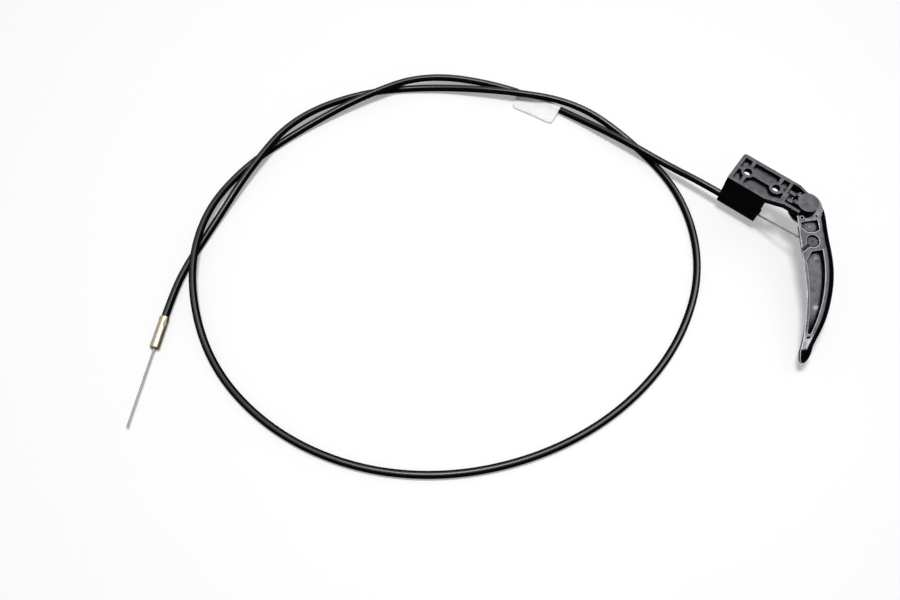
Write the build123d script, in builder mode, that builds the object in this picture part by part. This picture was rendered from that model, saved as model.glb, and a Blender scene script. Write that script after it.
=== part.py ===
from build123d import *
from math import cos, pi, radians, sin, sqrt, tan
import os

# Hood release cable: moulded bracket, hand lever and a sheathed pull cable, in millimetres.
# The origin is midway between the two screw holes on the mounting face, which looks up (+Z).
# +X runs along the bracket towards the lever's pivot, and the cable lies on floor_z.

# Mounting plate
hole_spacing = 21.0
screw_hole_r = 2.65
boss_r = 4.6
plate_left = -19.4
plate_turn_x = 8.4
plate_near = -11.8
plate_far = 11.6
plate_thickness = 4.5
core_depth = 2.6
rim_width = 2.5
rib_width = 2.4
corner_r = 2.0

# Cable block: a deep wall under the near edge of the plate
block_length = 28.8
block_depth = 7.2
block_height = 29.0
block_wall = 2.2
housing_height = 8.7
chamber_height = 6.6
nub_height = 5.0
nub_z = -18.2
edge_round = 0.5

# Yoke that carries the lever
pivot_x = 32.8
pivot_y = 2.9
ear_r = 7.0
ear_thickness = 4.0
lower_ear_r = 8.2
lower_ear_thickness = 3.2
yoke_depth = 14.0
skirt_wall = 2.0
hub_r = 10.4
seat_gap = 0.3
arm_width = 2.6
arm_recess = 2.0

# Pivot pin
pin_r = 2.0
pin_head_r = 3.6
pin_head_thickness = 1.5
pin_blind = 1.2
running_fit = 0.05
press_fit = 0.02

# Lever, with its coring pockets in the back
lever_rest_angle = 37.0
lever_tilt = 11.0
lever_root = 8.0
lever_reach = 96.8
lever_thickness = 16.5
lever_tip_thickness = 8.5
lever_bulge = 6.2
lever_rim = 1.7
lever_left_rim = 2.3
lever_recede = 0.19
pocket_depth = 3.2
pocket_corner_r = 0.8
small_pocket_depth = 2.2
dent_r = 0.9
small_hole_r = 1.3
small_hole_place = (-1.0, -61.3)
small_hole_axis = (-0.055, -0.526, 0.849)
tip_slot_place = (-7.3, -80.9)
tip_slot_angle = 20.0

# Nipple and pull wire
barrel_r = 3.9
barrel_clearance = 0.35
barrel_u = 1.6
barrel_a = 16.8
barrel_length = 9.4
barrel_recess = 0.8
wire_r = 0.65
wire_z = -11.5
window_height = 6.6

# Sheath and its end pieces
sheath_r = 2.5
sheath_axis_y = plate_near + 3.6
sheath_axis_z = -block_height + 3.6
sheath_end_x = -3.6
cap_r = 2.9
cap_length = 12.0
cap_nose = 1.0
wire_clearance = 0.25
ferrule_r = 3.2
ferrule_length = 22.6
ferrule_overlap = 11.0
ferrule_nose_round = 1.0
ferrule_chamfer = 0.3
crimp_depth = 0.45
crimp_r = 2.0
free_wire_length = 54.0
free_wire_seat = 1.8
coat_clearance = 0.07
coat_reach = 1.5
label_length = 34.0
label_reach = 13.5
label_thickness = 0.07
label_gap = 0.02
label_lift = -1.0

# The cable lies on the floor, and passes over itself in five long low humps
floor_z = -38.0
low = floor_z + sheath_r + 0.1
high = low + 5.6
tail = floor_z + ferrule_r
exit_z = sheath_axis_z
block_right = plate_left + block_length
block_far = plate_near + block_depth
half_spacing = hole_spacing / 2

sheath_points = [
    (sheath_end_x, sheath_axis_y, exit_z),
    (-32.0, sheath_axis_y, exit_z),
    (-60.7, -8.0, -29.3),
    (-99.7, -8.1, high),
    (-141.9, -8.9, low),
    (-192.3, -15.5, low),
    (-245.8, -45.9, high),
    (-271.0, -90.9, high),
    (-290.8, -138.2, low),
    (-301.9, -187.2, low),
    (-294.5, -235.0, high),
    (-267.1, -277.3, high),
    (-218.9, -311.0, low),
    (-159.6, -320.9, low),
    (-101.1, -308.7, low),
    (-50.5, -277.4, low),
    (-11.6, -231.2, low),
    (11.6, -176.6, low),
    (16.5, -117.1, low),
    (-0.5, -59.5, low),
    (-42.4, -16.9, low),
    (-99.1, -0.5, low),
    (-143.5, -1.5, high),
    (-189.5, -23.0, high),
    (-240.0, -51.5, low),
    (-277.5, -86.4, low),
    (-298.5, -136.7, high),
    (-294.3, -187.7, high),
    (-286.7, -232.6, low),
    (-279.1, -270.1, low),
    (-270.0, -292.5, tail),
    (-259.2, -314.2, tail),
]
label_run = 4

os.makedirs("parts", exist_ok=True)


def corner_radii(points):
    """Largest tangent arc for each corner: 0.45 of the shorter run over the tangent of half the turn."""
    corners = [Vector(*p) for p in points]
    radii = []
    for before, corner, after in zip(corners, corners[1:], corners[2:]):
        turn = (corner - before).get_angle(after - corner)
        shorter = min((corner - before).length, (after - corner).length)
        radii.append(0.45 * shorter / tan(radians(turn / 2)))
    return radii


# Bracket: one moulding of plate, cable block and yoke
pivot = (pivot_x, pivot_y)
window_left = 18.2
arm_left = 19.8
step_y = 1.2
skirt_end = pivot_x - 4.3
strip_end = pivot_x - 1.3
far_skirt_end = pivot_x - 2.6
far_skirt_slope = 8.0
strip_near = -7.9
slab_near = -1.0
fork_wall = 2.2
fork_left = window_left - fork_wall
arm_rows = (pivot_y + 1.7, pivot_y - 4.3)
arm_start = window_left - 1.0
arm_length = pivot_x - ear_r + 1.4 - arm_start
stub_length = 4.0
stub_places = [(pivot_x - 6.8, arm_rows[0]), (pivot_x - 6.2, arm_rows[1])]
chamber_left = sheath_end_x + cap_nose + 0.1

with BuildPart() as bracket:
    with BuildSketch(Plane.XY.offset(-plate_thickness)):
        with BuildLine():
            Polyline(
                (plate_left, plate_near),
                (plate_turn_x, plate_near),
                (arm_left + 1.2, strip_near),
                (arm_left, strip_near),
                (arm_left, step_y),
                (window_left, step_y),
                (window_left, plate_far),
                (plate_left, plate_far),
                close=True,
            )
        make_face()
    extrude(amount=plate_thickness)
    fillet(bracket.edges().filter_by(Axis.Z).sort_by(Axis.X)[:2].sort_by(Axis.Y)[-1:], corner_r)
    fillet(bracket.edges().filter_by(Axis.Z).group_by(Axis.Y)[0].sort_by(Axis.X)[:1], edge_round)

    # Cored upper face, with bosses and ribs left standing
    with BuildSketch(Plane.XY) as core:
        with BuildLine():
            Polyline(
                (plate_left + rim_width, plate_near + rim_width),
                (plate_turn_x - 0.3, plate_near + rim_width),
                (window_left - 1.8, strip_near + rim_width - 0.4),
                (window_left - 1.8, plate_far - rim_width),
                (plate_left + rim_width, plate_far - rim_width),
                close=True,
            )
        make_face()
        with Locations((-half_spacing, 0), (half_spacing, 0)):
            Circle(boss_r, mode=Mode.SUBTRACT)
        Rectangle(2 * (half_spacing + 12), rib_width, mode=Mode.SUBTRACT)
        with Locations((-half_spacing, 0)):
            Rectangle(rib_width, 2 * plate_far, mode=Mode.SUBTRACT)
        with Locations((half_spacing, plate_far / 2)):
            Rectangle(rib_width, plate_far, mode=Mode.SUBTRACT)
    extrude(amount=-core_depth, mode=Mode.SUBTRACT)

    # Cable block, cored from its far side behind one middle rib
    with BuildSketch(Plane.XY.offset(-block_height)) as block_plan:
        with Locations((plate_left, plate_near)):
            Rectangle(block_length, block_depth, align=(Align.MIN, Align.MIN))
        fillet(block_plan.vertices().group_by(Axis.Y)[0], edge_round)
    extrude(amount=block_height - plate_thickness)
    cored_top = block_height - housing_height
    core_height = cored_top - plate_thickness
    cell = (block_length - 3 * block_wall) / 2
    with BuildSketch(Plane.XZ.offset(-block_far)):
        with Locations(
            (plate_left + block_wall, -plate_thickness),
            (plate_left + 2 * block_wall + cell, -plate_thickness),
        ):
            Rectangle(cell, core_height, align=(Align.MIN, Align.MAX))
    extrude(amount=block_depth - block_wall, mode=Mode.SUBTRACT)

    # Nub on the block's right end
    with BuildSketch(Plane.YZ.offset(block_right)):
        with Locations((plate_near + 1.6, nub_z)):
            Rectangle(1.8, nub_height)
    extrude(amount=0.9)

    # Yoke: lower slab and cross wall, the strip on the near side and the skirt on the far side
    with BuildSketch(Plane.XY.offset(-yoke_depth)):
        with Locations(pivot):
            Circle(lower_ear_r)
        with BuildLine():
            Polyline(
                (fork_left, slab_near),
                (skirt_end, slab_near),
                (skirt_end, pivot_y),
                (pivot_x, pivot_y),
                (pivot_x, pivot_y + lower_ear_r),
                (fork_left, pivot_y + lower_ear_r),
                close=True,
            )
        make_face()
    extrude(amount=lower_ear_thickness)
    with BuildSketch(Plane.XY.offset(-yoke_depth)):
        with Locations((fork_left, slab_near)):
            Rectangle(fork_wall, plate_far - slab_near, align=(Align.MIN, Align.MIN))
    extrude(amount=yoke_depth - plate_thickness)
    with BuildSketch(Plane.XY.offset(-ear_thickness)):
        with Locations((fork_left, strip_near)):
            Rectangle(strip_end - fork_left, skirt_wall, align=(Align.MIN, Align.MIN))
    extrude(amount=ear_thickness)
    with BuildSketch(Plane.XZ.offset(-plate_far)):
        with BuildLine():
            Polyline(
                (fork_left, 0),
                (fork_left, -yoke_depth),
                (far_skirt_end, -yoke_depth),
                (far_skirt_end, -ear_thickness + 0.6),
                (far_skirt_end - far_skirt_slope, 0),
                close=True,
            )
        make_face()
    extrude(amount=skirt_wall - 0.3)
    with BuildSketch(Plane.XY.offset(-yoke_depth + lower_ear_thickness)):
        with Locations(pivot):
            Circle(hub_r + seat_gap)
    extrude(amount=yoke_depth - lower_ear_thickness - ear_thickness, mode=Mode.SUBTRACT)

    # Upper ear, with two stubs and the recessed arms that carry it
    with BuildSketch(Plane.XY.offset(-ear_thickness)):
        with Locations(pivot):
            Circle(ear_r)
        with Locations(stub_places):
            Rectangle(stub_length, arm_width)
    extrude(amount=ear_thickness)
    with BuildSketch(Plane.XY.offset(-ear_thickness)):
        with Locations([(arm_start, row) for row in arm_rows]):
            Rectangle(arm_length, arm_width, align=(Align.MIN, Align.CENTER))
    extrude(amount=ear_thickness - arm_recess)

    # Screw holes, pin bores, sheath socket and the chamber that the wire swings in
    with Locations((-half_spacing, 0, 0), (half_spacing, 0, 0)):
        Hole(screw_hole_r, depth=plate_thickness)
    with BuildSketch(Plane.XY.offset(-yoke_depth)):
        with Locations(pivot):
            Circle(pin_r + press_fit)
    extrude(amount=yoke_depth - pin_blind, mode=Mode.SUBTRACT)
    with BuildSketch(Plane.YZ.offset(plate_left)):
        with Locations((sheath_axis_y, sheath_axis_z)):
            Circle(cap_r + running_fit)
    extrude(amount=chamber_left - plate_left, mode=Mode.SUBTRACT)
    with BuildSketch(Plane.YZ.offset(chamber_left)):
        with Locations((plate_near + 0.6, sheath_axis_z - 1.4)):
            Rectangle(block_depth, chamber_height, align=(Align.MIN, Align.MIN))
    extrude(amount=block_right - chamber_left, mode=Mode.SUBTRACT)
bracket.part.label = "bracket"
export_step(bracket.part, "parts/bracket.step")

# Pivot pin: pressed into both ears, its head under the lower one
with BuildPart() as pivot_pin:
    with BuildSketch(Plane.XY.offset(-yoke_depth - pin_head_thickness)):
        with Locations(pivot):
            Circle(pin_head_r)
    extrude(amount=pin_head_thickness)
    with BuildSketch(Plane.XY.offset(-yoke_depth)):
        with Locations(pivot):
            Circle(pin_r)
    extrude(amount=yoke_depth - pin_blind - 0.2)
    chamfer(pivot_pin.faces().sort_by(Axis.Z)[0].edges(), 0.4)
pivot_pin.part.label = "pivot_pin"
export_step(pivot_pin.part, "parts/pivot_pin.step")

# Lever: a lofted crescent whose flat back drops away from the mounting plane towards its tip
across = Vector(cos(radians(lever_rest_angle)), sin(radians(lever_rest_angle)), 0)
inward = Vector(-across.Y, across.X, 0)
back_normal = Vector(0, 0, cos(radians(lever_tilt))) - inward * sin(radians(lever_tilt))
hub_top = -ear_thickness - seat_gap
hub_bottom = -yoke_depth + lower_ear_thickness + seat_gap
root = Vector(pivot_x, pivot_y, hub_top) - inward * lever_root
back = Plane(origin=root, x_dir=across, z_dir=back_normal)
left_start, left_bend, left_base = 42.0, 150.0, -5.6
right_start, right_bend, right_base = 30.0, 94.0, 9.6
root_taper = 24.0
tip_start = 88.0
tip_slope = 0.3
nose_fill_start = 75.0
nose_fill = 0.008
body_stations = [-8.5, 5.0, 19.0, 33.0, 47.0, 61.0, 75.0, tip_start]
tip_stations = [tip_start + share * (lever_reach - tip_start) for share in (0, 0.4, 0.7, 0.88, 0.97)]


def left_edge(a):
    """Concave edge of the back, a millimetres from the root."""
    if a < left_start:
        return left_base - 0.035 * (left_start - a)
    return left_base - left_bend + sqrt(left_bend**2 - (a - left_start) ** 2)


def right_edge(a):
    """Convex edge of the back, a millimetres from the root."""
    if a < right_start:
        return right_base - 0.08 * (right_start - a)
    return right_base - right_bend + sqrt(right_bend**2 - (a - right_start) ** 2)


def lever_section(a):
    """Cross-section of the lever: flat back, receding concave side and full convex side."""
    share = max(0.0, a) / lever_reach
    past_tip = max(0.0, a - tip_start)
    shrink = sqrt(1 - (past_tip / (lever_reach - tip_start)) ** 2)
    root_share = 1 + min(0.0, a) / root_taper
    full_depth = (lever_thickness - (lever_thickness - lever_tip_thickness) * share**1.3) * root_share
    full_bulge = (lever_bulge - 1.6 * share) * root_share
    full_bulge += nose_fill * max(0.0, a - past_tip - nose_fill_start) ** 2
    full_left = left_edge(a - past_tip) - tip_slope * past_tip
    full_right = right_edge(a - past_tip) - tip_slope * past_tip
    middle = (full_left + full_right + full_bulge) / 2
    depth = full_depth * shrink
    drop = (full_depth - depth) / 2
    bulge = full_bulge * shrink
    x_left = middle + (full_left - middle) * shrink
    x_right = middle + (full_right - middle) * shrink
    width = x_right - x_left
    with BuildSketch(
        Plane(origin=back.from_local_coords((0, -a, -drop)), x_dir=across, z_dir=-back.y_dir)
    ) as section:
        with BuildLine():
            Line((x_left, 0), (x_right, 0))
            Spline(
                (x_right, 0),
                (x_right + 0.80 * bulge, -0.16 * depth),
                (x_right + bulge, -0.44 * depth),
                (x_right + 0.50 * bulge, -0.80 * depth),
                (x_left + 0.36 * (width + bulge), -depth),
                (x_left + lever_recede * (width + bulge), -0.60 * depth),
            )
            Line((x_left + lever_recede * (width + bulge), -0.60 * depth), (x_left, 0))
        make_face()
    return section.sketch


barrel_spot = back.from_local_coords((barrel_u, -barrel_a, 0))
barrel_top = barrel_spot.Z - barrel_recess
barrel_bottom = barrel_top - barrel_length
window_top = wire_z + 1.2
window_plane = Plane(
    origin=(barrel_spot.X, barrel_spot.Y, window_top), x_dir=across, z_dir=(0, 0, 1)
)

with BuildPart() as handle_lever:
    loft([lever_section(a) for a in body_stations])
    loft([lever_section(a) for a in tip_stations])
    with BuildSketch(Plane.XY.offset(hub_bottom)):
        with Locations(pivot):
            Circle(hub_r)
    extrude(amount=hub_top - hub_bottom)

    # Room for both ears of the yoke
    with BuildSketch(Plane.XY.offset(hub_top)):
        with Locations(pivot):
            Circle(lever_reach)
    extrude(amount=lever_thickness, mode=Mode.SUBTRACT)
    with BuildSketch(Plane.XY.offset(hub_bottom)):
        with Locations(pivot):
            Circle(lower_ear_r + 2 * seat_gap)
    extrude(amount=-lever_thickness, mode=Mode.SUBTRACT)

    # Nipple pocket, the slot that the wire is fed in through and the window it swings in
    with BuildSketch(Plane.XY.offset(barrel_bottom - seat_gap)):
        with Locations((barrel_spot.X, barrel_spot.Y)):
            Circle(barrel_r + barrel_clearance)
    extrude(amount=lever_thickness, mode=Mode.SUBTRACT)
    with BuildSketch(window_plane.offset(-window_height)):
        with BuildLine():
            Polyline((0.6, 0), (-0.6, 12.0), (-4.0, 24.0), (-26.0, 16.0), (-22.0, -16.6), close=True)
        make_face()
    extrude(amount=window_height, mode=Mode.SUBTRACT)
    with BuildSketch(window_plane):
        with BuildLine():
            Polyline((-1.4, 0.4), (-9.6, -6.2), (-11.0, -9.6), (-9.2, -9.0), (0.2, -1.6), close=True)
        make_face()
    extrude(amount=lever_thickness, mode=Mode.SUBTRACT)

    # Coring pockets in the back
    with BuildSketch(back.offset(1)):
        with BuildLine():
            Polyline(
                (-5.1, -3.9), (5.9, -2.2), (6.7, -9.0), (3.5, -10.7), (-1.4, -10.7), (-5.1, -7.6), close=True
            )
        make_face()
        fillet(vertices(), pocket_corner_r)
    extrude(amount=-1 - small_pocket_depth, mode=Mode.SUBTRACT)
    with BuildSketch(back.offset(1)):
        with Locations((-4.1, -0.7), (5.4, 0.3)):
            Circle(dent_r)
    extrude(amount=-small_pocket_depth, mode=Mode.SUBTRACT)
    pocket_side = [30.0, 42.0, 54.0, 66.0, 78.0]
    with BuildSketch(back.offset(1)):
        with BuildLine():
            outer = Spline([(right_edge(a) - lever_rim, -a) for a in pocket_side])
            inner = Spline([(left_edge(a) + lever_left_rim, -a) for a in pocket_side])
            crown = Polyline(outer @ 0, (right_edge(23) - lever_rim, -22.6), (0.2, -23.8), inner @ 0)
            RadiusArc(outer @ 1, inner @ 1, 0.55 * (outer @ 1 - inner @ 1).length)
        make_face()
    extrude(amount=-1 - pocket_depth, mode=Mode.SUBTRACT)
    with BuildSketch(back.offset(1)):
        with Locations(Location(tip_slot_place, tip_slot_angle)):
            Rectangle(2.6, 1.5)
    extrude(amount=-1.9, mode=Mode.SUBTRACT)
    with BuildSketch(Plane(origin=back.from_local_coords((*small_hole_place, 0)), z_dir=small_hole_axis)):
        Circle(small_hole_r)
    extrude(amount=lever_thickness, both=True, mode=Mode.SUBTRACT)
    with BuildSketch(Plane.XY.offset(hub_bottom)):
        with Locations(pivot):
            Circle(pin_r + running_fit)
    extrude(amount=hub_top - hub_bottom, mode=Mode.SUBTRACT)
handle_lever.part.label = "handle_lever"
export_step(handle_lever.part, "parts/handle_lever.step")

# Nipple and pull wire: the wire's line runs from the nipple to the mouth of the sheath's end cap
mouth = Vector(chamber_left + 0.3, sheath_axis_y, sheath_axis_z)
nipple = Vector(barrel_spot.X, barrel_spot.Y, wire_z)
wire_line = mouth - nipple
wire_plane = Plane(origin=nipple, z_dir=wire_line)

with BuildPart() as lever_wire:
    with BuildSketch(wire_plane):
        Circle(wire_r)
    extrude(amount=wire_line.length)
lever_wire.part.label = "lever_wire"
export_step(lever_wire.part, "parts/lever_wire.step")

with BuildPart() as cable_barrel:
    with BuildSketch(Plane.XY.offset(barrel_bottom)):
        with Locations((nipple.X, nipple.Y)):
            Circle(barrel_r)
    extrude(amount=barrel_length)
    chamfer(cable_barrel.edges().filter_by(GeomType.CIRCLE), 0.5)
    with BuildSketch(Plane.XY.offset(barrel_top)):
        with Locations((nipple.X, nipple.Y)):
            Circle(0.9)
    extrude(amount=-0.5, mode=Mode.SUBTRACT)
    with BuildSketch(wire_plane):
        Circle(wire_r + press_fit)
    extrude(amount=2 * barrel_r, mode=Mode.SUBTRACT)
cable_barrel.part.label = "cable_barrel"
export_step(cable_barrel.part, "parts/cable_barrel.step")

# Outer sheath: straight runs joined by tangent arcs
radii = corner_radii(sheath_points)
print("sheath radii", [round(r) for r in radii])
with BuildPart() as outer_sheath:
    with BuildLine() as route:
        FilletPolyline(*sheath_points, radius=radii)
    sheath_path = route.wires()[0]
    with BuildSketch(Plane(origin=sheath_path @ 0, z_dir=sheath_path % 0)):
        Circle(sheath_r)
    sweep(path=sheath_path)
sheath_length = sheath_path.length
section_area = pi * sheath_r**2
print("sheath length", round(sheath_length, 1), "volume", round(outer_sheath.part.volume))
print("section times length", round(section_area * sheath_length))
outer_sheath.part.label = "outer_sheath"
export_step(outer_sheath.part, "parts/outer_sheath.step")

# End cap on the sheath, inside the bracket's socket
with BuildPart() as sheath_end_cap:
    with BuildSketch(Plane.YZ.offset(sheath_end_x - cap_length + cap_nose)):
        with Locations((sheath_axis_y, sheath_axis_z)):
            Circle(cap_r)
    extrude(amount=cap_length)
    with BuildSketch(Plane.YZ.offset(sheath_end_x - cap_length + cap_nose)):
        with Locations((sheath_axis_y, sheath_axis_z)):
            Circle(sheath_r + press_fit)
    extrude(amount=cap_length - cap_nose, mode=Mode.SUBTRACT)
    with BuildSketch(Plane.YZ.offset(sheath_end_x)):
        with Locations((sheath_axis_y, sheath_axis_z)):
            Circle(wire_r + wire_clearance)
    extrude(amount=cap_nose, mode=Mode.SUBTRACT)
sheath_end_cap.part.label = "sheath_end_cap"
export_step(sheath_end_cap.part, "parts/sheath_end_cap.step")

# Crimped ferrule on the far end of the sheath, with the free end of the wire running through it
sheath_end = Vector(*sheath_points[-1])
tail_direction = (sheath_end - Vector(*sheath_points[-2])).normalized()
ferrule_start = sheath_end - tail_direction * ferrule_overlap
ferrule_plane = Plane(origin=ferrule_start, x_dir=(0, 0, 1), z_dir=tail_direction)
ferrule_face = ferrule_start + tail_direction * ferrule_length

with BuildPart() as end_ferrule:
    with BuildSketch(ferrule_plane):
        Circle(ferrule_r)
        Circle(sheath_r + running_fit, mode=Mode.SUBTRACT)
    extrude(amount=ferrule_overlap)
    with BuildSketch(ferrule_plane.offset(ferrule_overlap)):
        Circle(ferrule_r)
        Circle(wire_r + wire_clearance, mode=Mode.SUBTRACT)
    extrude(amount=ferrule_length - ferrule_overlap)
    rims = end_ferrule.edges().filter_by(GeomType.CIRCLE).filter_by(lambda e: e.radius > ferrule_r - 0.01)
    chamfer(rims.sort_by(lambda e: (e.center() - ferrule_start).length)[0], ferrule_chamfer)
    fillet(rims.sort_by(lambda e: (e.center() - ferrule_start).length)[-1], ferrule_nose_round)
    # Crimp dents pressed in from four sides
    for turn in range(4):
        dent_plane = ferrule_plane.rotated((0, 0, 45 + 90 * turn)).offset(ferrule_overlap * 0.5)
        with BuildSketch(
            Plane(
                origin=dent_plane.from_local_coords((ferrule_r - crimp_depth + crimp_r, 0, 0)),
                x_dir=dent_plane.x_dir,
                z_dir=dent_plane.y_dir,
            )
        ):
            Circle(crimp_r)
        extrude(amount=ferrule_r, both=True, mode=Mode.SUBTRACT)
end_ferrule.part.label = "end_ferrule"
export_step(end_ferrule.part, "parts/end_ferrule.step")

# Free end of the wire, coated where it runs in the ferrule and bare beyond it
free_wire_start = ferrule_face - tail_direction * free_wire_seat
with BuildPart() as free_wire:
    with BuildSketch(Plane(origin=free_wire_start, z_dir=tail_direction)):
        Circle(wire_r)
    extrude(amount=free_wire_length + free_wire_seat)
    with BuildSketch(Plane(origin=free_wire_start, z_dir=tail_direction)):
        Circle(wire_r + wire_clearance - coat_clearance)
    extrude(amount=coat_reach + free_wire_seat)
free_wire.part.label = "free_wire"
export_step(free_wire.part, "parts/free_wire.step")

# Folded paper label round the sheath, its flag towards the inside of the loop
run_edges = sheath_path.edges()
arc_before = run_edges[2 * label_run - 1]
straight = run_edges[2 * label_run]
arc_after = run_edges[2 * label_run + 1]
half_arc = (label_length - straight.length) / 2
with BuildPart() as cable_label:
    with BuildLine() as label_path:
        add(arc_before.trim(1 - half_arc / arc_before.length, 1))
        add(straight)
        add(arc_after.trim(0, half_arc / arc_after.length))
    label_wire = label_path.wires()[0]
    with BuildSketch(Plane(origin=label_wire @ 0, x_dir=(0, 0, 1), z_dir=label_wire % 0)):
        Circle(sheath_r + label_gap + label_thickness)
        with Locations((label_lift, 0)):
            Rectangle(2 * label_thickness, label_reach, align=(Align.CENTER, Align.MAX))
        Circle(sheath_r + label_gap, mode=Mode.SUBTRACT)
    sweep(path=label_wire)
cable_label.part.label = "cable_label"
export_step(cable_label.part, "parts/cable_label.step")

ferrule_wall = ferrule_length - ferrule_chamfer - ferrule_nose_round
bare_wire = free_wire_length - coat_reach
print("nipple", nipple, "mouth", mouth, "back at barrel", round(barrel_spot.Z, 2))
print("barrel top and bottom", round(barrel_top, 2), round(barrel_bottom, 2))
print("ferrule face", ferrule_face, "direction", tail_direction)
print("ferrule wall", ferrule_wall, ferrule_start + tail_direction * (ferrule_chamfer + ferrule_wall / 2))
print("bare wire", bare_wire, ferrule_face + tail_direction * (coat_reach + bare_wire / 2))
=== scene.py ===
import math

import bmesh
import bpy
from bpy.props import FloatProperty, FloatVectorProperty, IntProperty, PointerProperty
from mathutils import Matrix, Vector


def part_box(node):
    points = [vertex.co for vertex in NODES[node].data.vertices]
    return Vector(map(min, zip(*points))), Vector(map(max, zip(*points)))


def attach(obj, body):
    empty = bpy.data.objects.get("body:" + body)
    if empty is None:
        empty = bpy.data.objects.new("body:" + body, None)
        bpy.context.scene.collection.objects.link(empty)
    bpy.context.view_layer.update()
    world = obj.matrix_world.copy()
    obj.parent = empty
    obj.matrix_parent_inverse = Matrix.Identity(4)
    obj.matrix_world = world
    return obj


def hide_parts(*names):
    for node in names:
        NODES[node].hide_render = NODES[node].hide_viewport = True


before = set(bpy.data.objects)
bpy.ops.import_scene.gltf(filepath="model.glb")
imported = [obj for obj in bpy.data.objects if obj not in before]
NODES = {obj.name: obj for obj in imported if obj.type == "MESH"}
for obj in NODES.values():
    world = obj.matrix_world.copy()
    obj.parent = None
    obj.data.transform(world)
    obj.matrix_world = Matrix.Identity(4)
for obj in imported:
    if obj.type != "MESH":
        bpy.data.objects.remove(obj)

bl_info = {
    "name": "Hood release cable",
    "version": (1, 0, 0),
    "blender": (4, 5, 0),
    "location": "3D View > Sidebar > Hood Cable",
    "description": "Dresses the packed hood release cable and sets it on a white table",
    "category": "Object",
}

MM = 0.001
UP = Vector((0, 0, 1))

# The sheath's control points, in metres, from the bracket's socket to the ferrule
SHEATH_POINTS = [
    (-0.0036, -0.0082, -0.0254),
    (-0.0320, -0.0082, -0.0254),
    (-0.0607, -0.0080, -0.0293),
    (-0.0997, -0.0081, -0.0298),
    (-0.1419, -0.0089, -0.0354),
    (-0.1923, -0.0155, -0.0354),
    (-0.2458, -0.0459, -0.0298),
    (-0.2710, -0.0909, -0.0298),
    (-0.2908, -0.1382, -0.0354),
    (-0.3019, -0.1872, -0.0354),
    (-0.2945, -0.2350, -0.0298),
    (-0.2671, -0.2773, -0.0298),
    (-0.2189, -0.3110, -0.0354),
    (-0.1596, -0.3209, -0.0354),
    (-0.1011, -0.3087, -0.0354),
    (-0.0505, -0.2774, -0.0354),
    (-0.0116, -0.2312, -0.0354),
    (0.0116, -0.1766, -0.0354),
    (0.0165, -0.1171, -0.0354),
    (-0.0005, -0.0595, -0.0354),
    (-0.0424, -0.0169, -0.0354),
    (-0.0991, -0.0005, -0.0354),
    (-0.1435, -0.0015, -0.0298),
    (-0.1895, -0.0230, -0.0298),
    (-0.2400, -0.0515, -0.0354),
    (-0.2775, -0.0864, -0.0354),
    (-0.2985, -0.1367, -0.0298),
    (-0.2943, -0.1877, -0.0298),
    (-0.2867, -0.2326, -0.0354),
    (-0.2791, -0.2701, -0.0354),
    (-0.2700, -0.2925, -0.0348),
    (-0.2592, -0.3142, -0.0348),
]
FLOOR_Z = -0.038
# The pull wire: its height in the nipple, how far from the nipple's middle it starts, and where it ends
NIPPLE_Z = -0.0115
WIRE_START = 0.5 * MM
SHEATH_MOUTH = Vector((-0.0022, -0.0082, -0.0254))
# Middle of the flat at the lever's tip, which fingers polish
TIP_FLAT = (0.0815, -0.0745, -0.0212)
# Marks of the ejector pins in the lever's pockets: name, a point above, radius and height
EJECTOR_MARKS = (
    ("pocket_ejector_mark", (0.0573, -0.0232, 0.02), 0.0021, 0.00035),
    ("root_ejector_mark", (0.0420, -0.0077, 0.02), 0.0009, 0.0003),
)
# Outline of a mark, as shares of its radius and height up to its flat top; its root goes into the floor
MARK_OUTLINE = ((1.0, 0.3), (0.9, 0.8), (0.72, 1.0), (0.3, 1.0))
MARK_ROOT = 0.1 * MM
MARK_SIDES = 40
# The sheath's far end and the way that it points
TAIL_END = Vector(SHEATH_POINTS[-1])
TAIL = (TAIL_END - Vector(SHEATH_POINTS[-2])).normalized()

# The label: its middle, its clearance, the drop and curl of its flag, and the open degrees of its wrap
LABEL_MIDDLE = (Vector(SHEATH_POINTS[4]) + Vector(SHEATH_POINTS[5])) / 2
LABEL_GAP = 0.02 * MM
LABEL_DROP = 1.2 * MM
LABEL_CURL = 0.3 * MM
LABEL_MOUTH = 44
# The flag is narrower at its two corners, by this share of its width and over this share of its length
LABEL_CORNER = 0.10
LABEL_CORNER_RUN = 1 / 6
LABEL_STEPS, LABEL_WRAP_STEPS, LABEL_FLAG_STEPS, LABEL_FOLD_STEPS = 24, 16, 5, 2

# The ferrule's rolled lip, in millimetres: distance from its mouth and depth below its skin
FERRULE_LIP = ((0.0, 0.25), (0.08, 0.06), (0.3, 0.0))
MOUTH_FLARE = 0.15 * MM
BORE_CHAMFER = 0.2 * MM
SHEATH_CLEARANCE = 0.05 * MM
WIRE_CLEARANCE = 0.25 * MM
# Crimps round it: how many, where along the overlap their middle is, and how far each reaches from there
CRIMPS = 4
CRIMP_MIDDLE = 0.45
CRIMP_REACH = 3.0 * MM
SKIN_DEPTH = 0.01 * MM
FERRULE_STEPS, NOSE_STEPS, FERRULE_AROUND = 72, 8, 72

# The coat of the free wire: how far in it starts, how far it stands out of the ferrule, and its thickness
COAT_SEAT = 1.8 * MM
COAT_PROUD = 1.5 * MM
COAT_THICKNESS = 0.18 * MM
STRAND_STEP = 0.4 * MM
STRAND_SIDES, CORE_SIDES = 8, 12

CAMERA_PLACE = (0.0367, -0.3919, 0.53025)
CAMERA_TARGET = (-0.1228, -0.1803, FLOOR_Z)
TABLE_REACH = 4.0
LAMP_TARGET = (-0.12, -0.15, FLOOR_Z)
# Lamps: name, place, width, and whether the lamp lights surfaces or only shows in their shine
LAMPS = (
    ("softbox", (0.16, 0.52, 1.1), 0.95, False),
    ("overhead", (-0.2, -0.1, 1.5), 0.36, True),
)

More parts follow.
